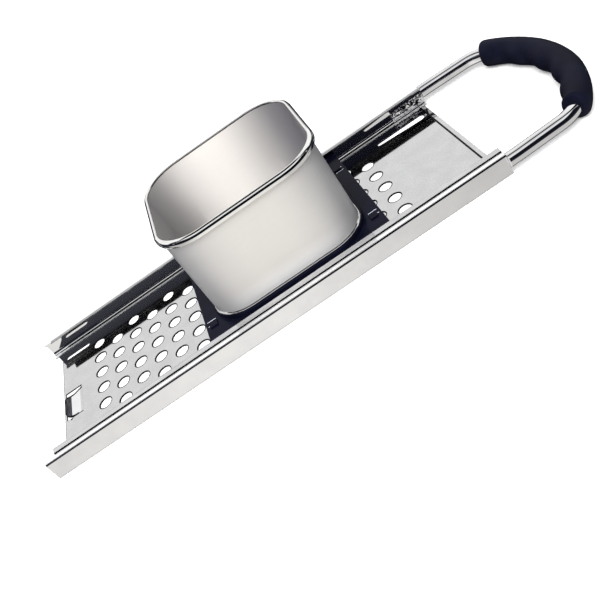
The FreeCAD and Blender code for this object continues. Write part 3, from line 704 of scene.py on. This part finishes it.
def hole_edge_rings(x, y):
    """The rolled-over edge round one hole: its section, turned about the hole's centre."""
    inner = HOLE_RADIUS - HOLE_EDGE_OVERHANG
    outer = inner + HOLE_EDGE_WIDTH
    section = [(inner, SHEET * 0.4), (inner, SHEET + STAND_OFF),
               ((inner + outer) / 2, SHEET + 2.5 * STAND_OFF),
               (outer, SHEET + STAND_OFF / 2), (outer, SHEET * 0.6)]
    rings = []
    for k in range(HOLE_SIDES):
        turn = 2 * math.pi * k / HOLE_SIDES
        rings.append([(x + out * math.cos(turn), y + out * math.sin(turn), z) for out, z in section])
    return rings


def make_hole_edges(material):
    """The rolled-over edge that the punch left round every hole.

    Its dark steel is partly the punched edge's dullness, partly painted shade.
    """
    shell = bmesh.new()
    for column in range(HOLE_COLUMNS):
        count = SHORT_COLUMN if column % 2 else LONG_COLUMN
        x = FRONT + HOLE_START + HOLE_COLUMN_PITCH * column
        for row in range(count):
            skin_rings(shell, hole_edge_rings(x, HOLE_ROW_PITCH * (row - (count - 1) / 2)))
    piece = shell_piece("hole_edges", shell, [material])
    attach(piece, "tray")


# ---------------------------------------------------------------- hopper


def rim_outline(top):
    """Outline (outward, height) of the rolled rim: a small curl, then facets, each steeper than the last."""
    outline = arc_points((RIM_CURL - HOPPER_WALL, top - RIM_CURL), RIM_CURL, 180, 90, steps=10)
    for tilt, width_mm in RIM_FACETS:
        out, height = outline[-1]
        turn = math.radians(tilt)
        outline.append((out + width_mm * MM * math.cos(turn), height - width_mm * MM * math.sin(turn)))
    return outline


def hopper_ring(out, z, corner):
    """Level outline of the hopper's wall, moved outward; corner is the radius of the wall itself."""
    half = (HOPPER_BOX[1] - HOPPER_BOX[0]) / 2
    half_length, half_width = half.x - FOOT_WIDTH, half.y - FOOT_WIDTH
    return rounded_ring(HOPPER_MIDDLE, half_length + out, half_width + out, corner + out, z)


def drawn_corner(z):
    """Corner radius of the free wall, which opens a little from the collar to the rim."""
    share = (z - HOPPER_BOX[0].z) / (HOPPER_BOX[1].z - HOPPER_BOX[0].z)
    return HOPPER_BOTTOM_CORNER + (HOPPER_CORNER - HOPPER_BOTTOM_CORNER) * share


def make_hopper(inside, dull, polished, outside):
    """Thin wall, rolled outward into a bead at the top and flared out where it enters the collar.

    Inside the collar the corners keep the collar's own radius.
    """
    low, top = HOPPER_BOX[0].z, HOPPER_BOX[1].z
    middle = low + (top - low) / 2
    held_inner = [(-HOPPER_WALL, low), (-HOPPER_WALL, COLLAR_TOP + STAND_OFF)]
    # Inside, a band of dark steel just under the curl is painted shade.
    inner = [(-HOPPER_WALL, z) for z in (COLLAR_TOP + FLARE, middle, top - RIM_CURL - RIM_SHADE)]
    bead = rim_outline(top)
    bead_low = bead[-1][1] - RIM_CURL / 2
    outer = [(0, bead_low), (0, middle), (0, COLLAR_TOP + 2 * FLARE)]
    seat = arc_points((FLARE, COLLAR_TOP + FLARE), FLARE, 180, 270, steps=6)
    seat += [(FLARE + BRIM, COLLAR_TOP), (FLARE, COLLAR_TOP - FLARE)]
    foot = [(0, COLLAR_TOP - 3 * FLARE)]
    foot += arc_points((FOOT_BEND, low + HOPPER_WALL + FOOT_BEND), FOOT_BEND, 180, 270, steps=5)
    foot += [(FOOT_WIDTH, low + HOPPER_WALL), (FOOT_WIDTH, low)]
    rings = [hopper_ring(out, z, HOPPER_CORNER) for out, z in held_inner]
    rings += [hopper_ring(out, z, drawn_corner(z)) for out, z in inner + bead + outer + seat]
    rings += [hopper_ring(out, z, HOPPER_CORNER) for out, z in foot]
    bead_start = len(held_inner) + len(inner)
    shade_start = bead_start - 1
    outer_start = bead_start + len(bead) - 1
    foot_start = outer_start + len(outer)
    piece = ring_piece("hopper_shell", rings, [inside, dull, polished, outside, polished],
                       bands=(shade_start, bead_start, outer_start, foot_start))
    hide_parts("hopper")
    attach(piece, "carriage")


def make_clip_ribs(material):
    """Two low ribs on the frame beside each clip, drawn pale grey as a painted highlight."""
    low, high = CLIPS_BOX
    middle = (low + high) / 2
    frame_top = high.z - CLIP_HOOK
    number = 0
    for side_x in (-1, 1):
        for side_y in (-1, 1):
            for inward in RIBS_INWARD:
                number += 1
                outer = middle.x + side_x * ((high.x - low.x) / 2 + RIB_FROM_END)
                y = middle.y + side_y * ((high.y - low.y) / 2 - inward)
                rings = [[(x, y - RIB_HALF, frame_top), (x, y, frame_top + RIB_HEIGHT),
                          (x, y + RIB_HALF, frame_top), (x, y, frame_top - RIB_HALF)]
                         for x in (outer - side_x * RIB_LENGTH, outer)]
                piece = ring_piece(f"clip_rib_{number}", rings, [material], closed=False, caps=True)
                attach(piece, "carriage")


# ---------------------------------------------------------------- handle


def leg_touch():
    """Angle, from +X, at which the corner's arc meets the straight leg."""
    away = Vector((LEG_START - CORNER_X, LEG_Y - CORNER_Y))
    return math.atan2(away.y, away.x) - math.acos(CORNER_RADIUS / away.length)


def handle_line(corner_end, corner_steps=16, bow_steps=40):
    """Points and outward directions from the -Y side to the +Y side, between the corners' ends."""
    half = []
    for k in range(bow_steps + 1):
        turn = BOW_TURN * k / bow_steps
        out = Vector((math.cos(turn), math.sin(turn), 0))
        half.append((Vector((BOW_X, 0, TUBE_Z)) + out * BOW_RADIUS, out))
    for k in range(1, corner_steps + 1):
        turn = BOW_TURN + (corner_end - BOW_TURN) * k / corner_steps
        out = Vector((math.cos(turn), math.sin(turn), 0))
        half.append((Vector((CORNER_X, CORNER_Y, TUBE_Z)) + out * CORNER_RADIUS, out))
    mirrored = [(Vector((place.x, -place.y, place.z)), Vector((out.x, -out.y, 0)))
                for place, out in half[1:]]
    return mirrored[::-1] + half


def smooth_step(share):
    """0 to 1 with soft ends, held at them outside that range."""
    share = min(max(share, 0), 1)
    return share * share * (3 - 2 * share)


def tube_ring(place, out, half_out, half_up, sides=36):
    """An oval ring across the tube, half_out along the outward direction and half_up in height."""
    ring = []
    for k in range(sides):
        angle = 2 * math.pi * k / sides
        offset = out * (half_out * math.cos(angle)) + Vector((0, 0, half_up * math.sin(angle)))
        ring.append(place + offset)
    return ring


def leg_rings():
    """Rings of the +Y leg: pressed flat inside the channel, and fully round behind the wall's end."""
    flat_low = SHEET
    flat_high = FLANGE_BOX[0].z
    flat_z = (flat_low + flat_high) / 2
    flat_tall = (flat_high - flat_low) / 2 - FLAT_PLAY
    flat_y = WALL_IN - FLAT_HALF
    places = [(REAR - FLAT_LENGTH + FLAT_LENGTH * k / FLAT_STEPS, 0) for k in range(FLAT_STEPS)]
    places += [(REAR, 0), (REAR + LEG_SHOULDER, 1), (LEG_START, 1)]
    rings = []
    for x, share in places:
        place = Vector((x, flat_y + (LEG_Y - flat_y) * share, flat_z + (TUBE_Z - flat_z) * share))
        half_out = FLAT_HALF + (TUBE_RADIUS - FLAT_HALF) * share
        half_up = flat_tall + (TUBE_RADIUS - flat_tall) * share
        rings.append(tube_ring(place, Vector((0, 1, 0)), half_out, half_up))
    return rings


def make_tube(drawn, pressed):
    """One bent tube; its ends are pressed flat and lie inside the tray's walls."""
    ends = leg_rings()
    flipped = [[Vector((point.x, -point.y, point.z)) for point in ring] for ring in ends]
    middle = [tube_ring(place, out, TUBE_RADIUS, TUBE_RADIUS) for place, out in handle_line(leg_touch())]
    rings = flipped + middle + ends[::-1]
    turns = (FLAT_STEPS, len(rings) - 1 - FLAT_STEPS)
    piece = ring_piece("handle_tube_bent", rings, [pressed, drawn, pressed], closed=False, caps=True,
                       bands=turns)
    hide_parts("handle_tube")
    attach(piece, "tray")


def grip_ring(place, out, radius, wave, waist):
    """A ring across the sleeve: the wave stands on its inner side, the waist is cut into its outer side."""
    ring = []
    for k in range(GRIP_SIDES):
        angle = 2 * math.pi * k / GRIP_SIDES
        inward = max(-math.cos(angle), 0) ** 2
        outward = max(math.cos(angle), 0) ** 2
        reach = radius + wave * inward - waist * outward
        ring.append(place + out * (reach * math.cos(angle)) + Vector((0, 0, reach * math.sin(angle))))
    return ring


def make_grip(material):
    """Sleeve with rounded ends, a fuller middle on the outside and finger waves on its inner side."""
    corner_end = math.acos((JOINT_X - GRIP_WRAP - CORNER_X) / CORNER_RADIUS)
    line = handle_line(corner_end)
    lengths = [0]
    for (first, _), (second, _) in zip(line, line[1:]):
        lengths.append(lengths[-1] + (second - first).length)
    total = lengths[-1]
    end_radius = TUBE_RADIUS + GRIP_END_WALL
    rings = []
    for (place, out), along in zip(line, lengths):
        from_end = min(min(along, total - along) / GRIP_END_ROUND, 1)
        fullness = math.sqrt(max(1 - (1 - from_end) ** 2, 0))
        radius = end_radius + (GRIP_RADIUS - end_radius) * fullness
        from_middle = along - total / 2
        wave = FINGER_DEPTH * math.cos(2 * math.pi * (from_middle - FINGER_SHIFT) / FINGER_PITCH)
        waist = WAIST_DEPTH * smooth_step((abs(from_middle) - WAIST_FROM) / WAIST_RUN)
        rings.append(grip_ring(place, out, radius, (wave - FINGER_HOLLOW) * fullness, waist * fullness))
    bore = [tube_ring(place, out, TUBE_RADIUS, TUBE_RADIUS, GRIP_SIDES) for place, out in line[::-1]]
    piece = ring_piece("soft_grip", rings + bore, [material])
    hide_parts("handle_grip")
    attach(piece, "tray")


# ---------------------------------------------------------------- studio


def make_floor():
    """Plain white floor that keeps the tool's shadow; metal sees the world's pale floor instead."""
    material, tree, surface = new_material("white_floor")
    path = add(tree, "ShaderNodeLightPath")
    matt = add(tree, "ShaderNodeBsdfDiffuse", {"Color": "#f2f2f2"})
    lift = add(tree, "ShaderNodeMath", {0: path.outputs["Is Camera Ray"], 1: FLOOR_GLOW},
               operation="MULTIPLY")
    glow = add(tree, "ShaderNodeEmission", {"Color": "#ffffff", "Strength": lift.outputs[0]})
    both = add(tree, "ShaderNodeAddShader", {0: matt.outputs[0], 1: glow.outputs[0]})
    tree.links.new(both.outputs[0], surface)
    mesh = bpy.data.meshes.new("floor")
    corners = [(side_x * FLOOR_REACH, side_y * FLOOR_REACH, 0)
               for side_x, side_y in ((-1, -1), (1, -1), (1, 1), (-1, 1))]
    mesh.from_pydata(corners, [], [(0, 1, 2, 3)])
    floor = bpy.data.objects.new("floor", mesh)
    floor.location.z = -FLOOR_DROP
    floor.visible_glossy = False
    bpy.context.scene.collection.objects.link(floor)
    floor.data.materials.append(material)


def mirrored_room(tree, toward_x, toward_y, up):
    """What metal mirrors above the floor: a white sky, slightly grey overhead, a dark room on the -Y side
    up to 45 degrees, a dark beam overhead along X, and a dark line all round at eye level.

    Each From value is how far a direction points along its axis, from -1 to 1.
    """
    sky = add(tree, "ShaderNodeMapRange", {"Value": up, "From Min": 0.8, "From Max": 0.95})
    sky_colour = add(tree, "ShaderNodeMix", {SHARE: sky.outputs[0], FIRST: "#ffffff", SECOND: "#d6d6d6"},
                     data_type="RGBA")
    room_side = add(tree, "ShaderNodeMapRange", {"Value": toward_y, "From Min": -0.05, "From Max": -0.2})
    room_low = add(tree, "ShaderNodeMapRange", {"Value": up, "From Min": 0.74, "From Max": 0.67})
    room = add(tree, "ShaderNodeMath", {0: room_side.outputs[0], 1: room_low.outputs[0]},
               operation="MULTIPLY")
    room_deep = add(tree, "ShaderNodeMapRange", {"Value": toward_x, "From Min": -0.45, "From Max": 0.05})
    room_wall = add(tree, "ShaderNodeMix", {
        SHARE: room_deep.outputs[0], FIRST: "#5c5d66", SECOND: "#1a1b26"}, data_type="RGBA")
    room_top = add(tree, "ShaderNodeMapRange", {"Value": up, "From Min": 0.3, "From Max": 0.5})
    room_colour = add(tree, "ShaderNodeMix", {
        SHARE: room_top.outputs[0], FIRST: "#0b0c14", SECOND: room_wall.outputs[MIXED]}, data_type="RGBA")
    walls = add(tree, "ShaderNodeMix", {
        SHARE: room.outputs[0], FIRST: sky_colour.outputs[MIXED], SECOND: room_colour.outputs[MIXED]},
        data_type="RGBA")
    beam_off = add(tree, "ShaderNodeMath", {0: toward_y, 1: 0.04}, operation="SUBTRACT")
    beam_gap = add(tree, "ShaderNodeMath", {0: beam_off.outputs[0]}, operation="ABSOLUTE")
    beam = add(tree, "ShaderNodeMapRange", {"Value": beam_gap.outputs[0],
                                            "From Min": 0.17, "From Max": 0.12})
    above = add(tree, "ShaderNodeMix", {SHARE: beam.outputs[0], FIRST: walls.outputs[MIXED],
                                        SECOND: "#18181c"}, data_type="RGBA")
    height = add(tree, "ShaderNodeMath", {0: up}, operation="ABSOLUTE")
    eye_line = add(tree, "ShaderNodeMapRange", {"Value": height.outputs[0],
                                                "From Min": 0.21, "From Max": 0.12})
    lined = add(tree, "ShaderNodeMix", {SHARE: eye_line.outputs[0], FIRST: above.outputs[MIXED],
                                        SECOND: "#22232d"}, data_type="RGBA")
    return lined.outputs[MIXED]


def mirrored_ground(tree, toward_x, toward_y):
    """What metal mirrors below: a pale floor, darker towards both ends of X and darkest on the +Y side."""
    front = add(tree, "ShaderNodeMapRange", {"Value": toward_x, "From Min": -0.85, "From Max": -0.25,
                                             "To Min": 0.55, "To Max": 0.98})
    rear = add(tree, "ShaderNodeMapRange", {"Value": toward_x, "From Min": -0.1, "From Max": 0.2,
                                            "To Min": 0.98, "To Max": 0.66})
    light = add(tree, "ShaderNodeMath", {0: front.outputs[0], 1: rear.outputs[0]}, operation="MINIMUM")
    pale = add(tree, "ShaderNodeMix", {SHARE: light.outputs[0], FIRST: "#000000", SECOND: "#fbf9f6"},
               data_type="RGBA")
    shade = add(tree, "ShaderNodeMapRange", {"Value": toward_y, "From Min": 0.05, "From Max": 0.25})
    ground = add(tree, "ShaderNodeMix", {SHARE: shade.outputs[0], FIRST: pale.outputs[MIXED],
                                         SECOND: "#1a1b23"}, data_type="RGBA")
    return ground.outputs[MIXED]


def make_world():
    """Even white light for matt surfaces, a studio for metal to mirror, and plain white for the camera."""
    world = bpy.data.worlds.new("studio")
    bpy.context.scene.world = world
    world.use_nodes = True
    tree = world.node_tree
    tree.nodes.clear()
    place = add(tree, "ShaderNodeTexCoord")
    axes = add(tree, "ShaderNodeSeparateXYZ", {"Vector": place.outputs["Generated"]})
    toward_x, toward_y, up = axes.outputs
    below = add(tree, "ShaderNodeMapRange", {"Value": up, "From Min": -0.14, "From Max": -0.22})
    seen = add(tree, "ShaderNodeMix", {
        SHARE: below.outputs[0], FIRST: mirrored_room(tree, toward_x, toward_y, up),
        SECOND: mirrored_ground(tree, toward_x, toward_y)}, data_type="RGBA")
    path = add(tree, "ShaderNodeLightPath")
    even = add(tree, "ShaderNodeBackground", {"Color": "#ffffff", "Strength": EVEN_LIGHT})
    mirrored = add(tree, "ShaderNodeBackground", {"Color": seen.outputs[MIXED], "Strength": 1.0})
    white = add(tree, "ShaderNodeBackground", {"Color": "#ffffff", "Strength": 1.0})
    shiny = add(tree, "ShaderNodeMixShader", {0: path.outputs["Is Glossy Ray"], 1: even.outputs[0],
                                              2: mirrored.outputs[0]})
    all_rays = add(tree, "ShaderNodeMixShader", {0: path.outputs["Is Camera Ray"], 1: shiny.outputs[0],
                                                 2: white.outputs[0]})
    add(tree, "ShaderNodeOutputWorld", {"Surface": all_rays.outputs[0]})


def make_lamp():
    """One wide soft lamp, high on the -Y side, that shines into the hopper."""
    lamp = bpy.data.lights.new("softbox", "AREA")
    lamp.shape = "SQUARE"
    lamp.size = LAMP_SIDE
    lamp.energy = LAMP_POWER
    place = bpy.data.objects.new("softbox", lamp)
    place.location = LAMP_PLACE
    aim = -Vector(LAMP_PLACE)
    place.rotation_euler = aim.to_track_quat("-Z", "Y").to_euler()
    place.visible_glossy = False
    bpy.context.scene.collection.objects.link(place)


def make_camera():
    """The camera, rolled so that the tray rises from the lower left to the handle at the upper right."""
    camera = bpy.data.cameras.new("camera")
    camera.lens = CAMERA_LENS
    camera.sensor_width = CAMERA_SENSOR
    camera.clip_start = 0.01
    place = bpy.data.objects.new("camera", camera)
    place.location = Vector((REAR, 0, 0)) + Vector(CAMERA_FROM_REAR) * MM
    place.rotation_euler = [math.radians(angle) for angle in CAMERA_TURN]
    bpy.context.scene.collection.objects.link(place)
    bpy.context.scene.camera = place


# ---------------------------------------------------------------- the whole tool


def dress_solids(plate):
    """Gives the solids that are seen as they are their finish."""
    plastic = glossy_abs()
    finishes = {"slicing_plate": plate, "tube_welds": weld_steel(), "carriage_frame": plastic,
                "clamp_frame": plastic, "frame_clips": plastic}
    for node, material in finishes.items():
        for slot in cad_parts[node].material_slots:
            slot.material = material


def make_tray(plate, sheared_and_shade):
    """The two folded rails, the stop tongue and the lines and hole edges of the plate."""
    folds = fold_steel()
    lip = lip_steel()
    for name, side in (("left", 1), ("right", -1)):
        make_rail(name, side, folds, lip)
    make_tongue(plate, highlight_tongue_steel(), shaded_tip_steel(), sheared_and_shade)
    # Painted shade: a dark line in the bend before the plate's turned-down end.
    make_cross_line("rear_bend_shade", REAR - BEND_SHADE_FROM_REAR, BEND_SHADE_WIDTH, WALL_IN - FLOOR_FOLD, sheared_and_shade)
    make_cross_line("front_edge", FRONT + EDGE_SETBACK + EDGE_WIDTH / 2, EDGE_WIDTH, WALL_IN - EDGE_SLANT,
                    sheared_and_shade)
    make_hole_edges(sheared_and_shade)


plate = plate_steel()
sheared_and_shade = sheared_and_shade_steel()
dress_solids(plate)
make_tray(plate, sheared_and_shade)
make_hopper(inside_steel(), sheared_and_shade, bead_steel(), outside_steel())
make_clip_ribs(highlight_abs())
make_tube(tube_steel(), pressed_steel())
make_grip(soft_rubber())
make_floor()
make_world()
make_lamp()
make_camera()
bpy.context.scene.view_settings.view_transform = "Standard"
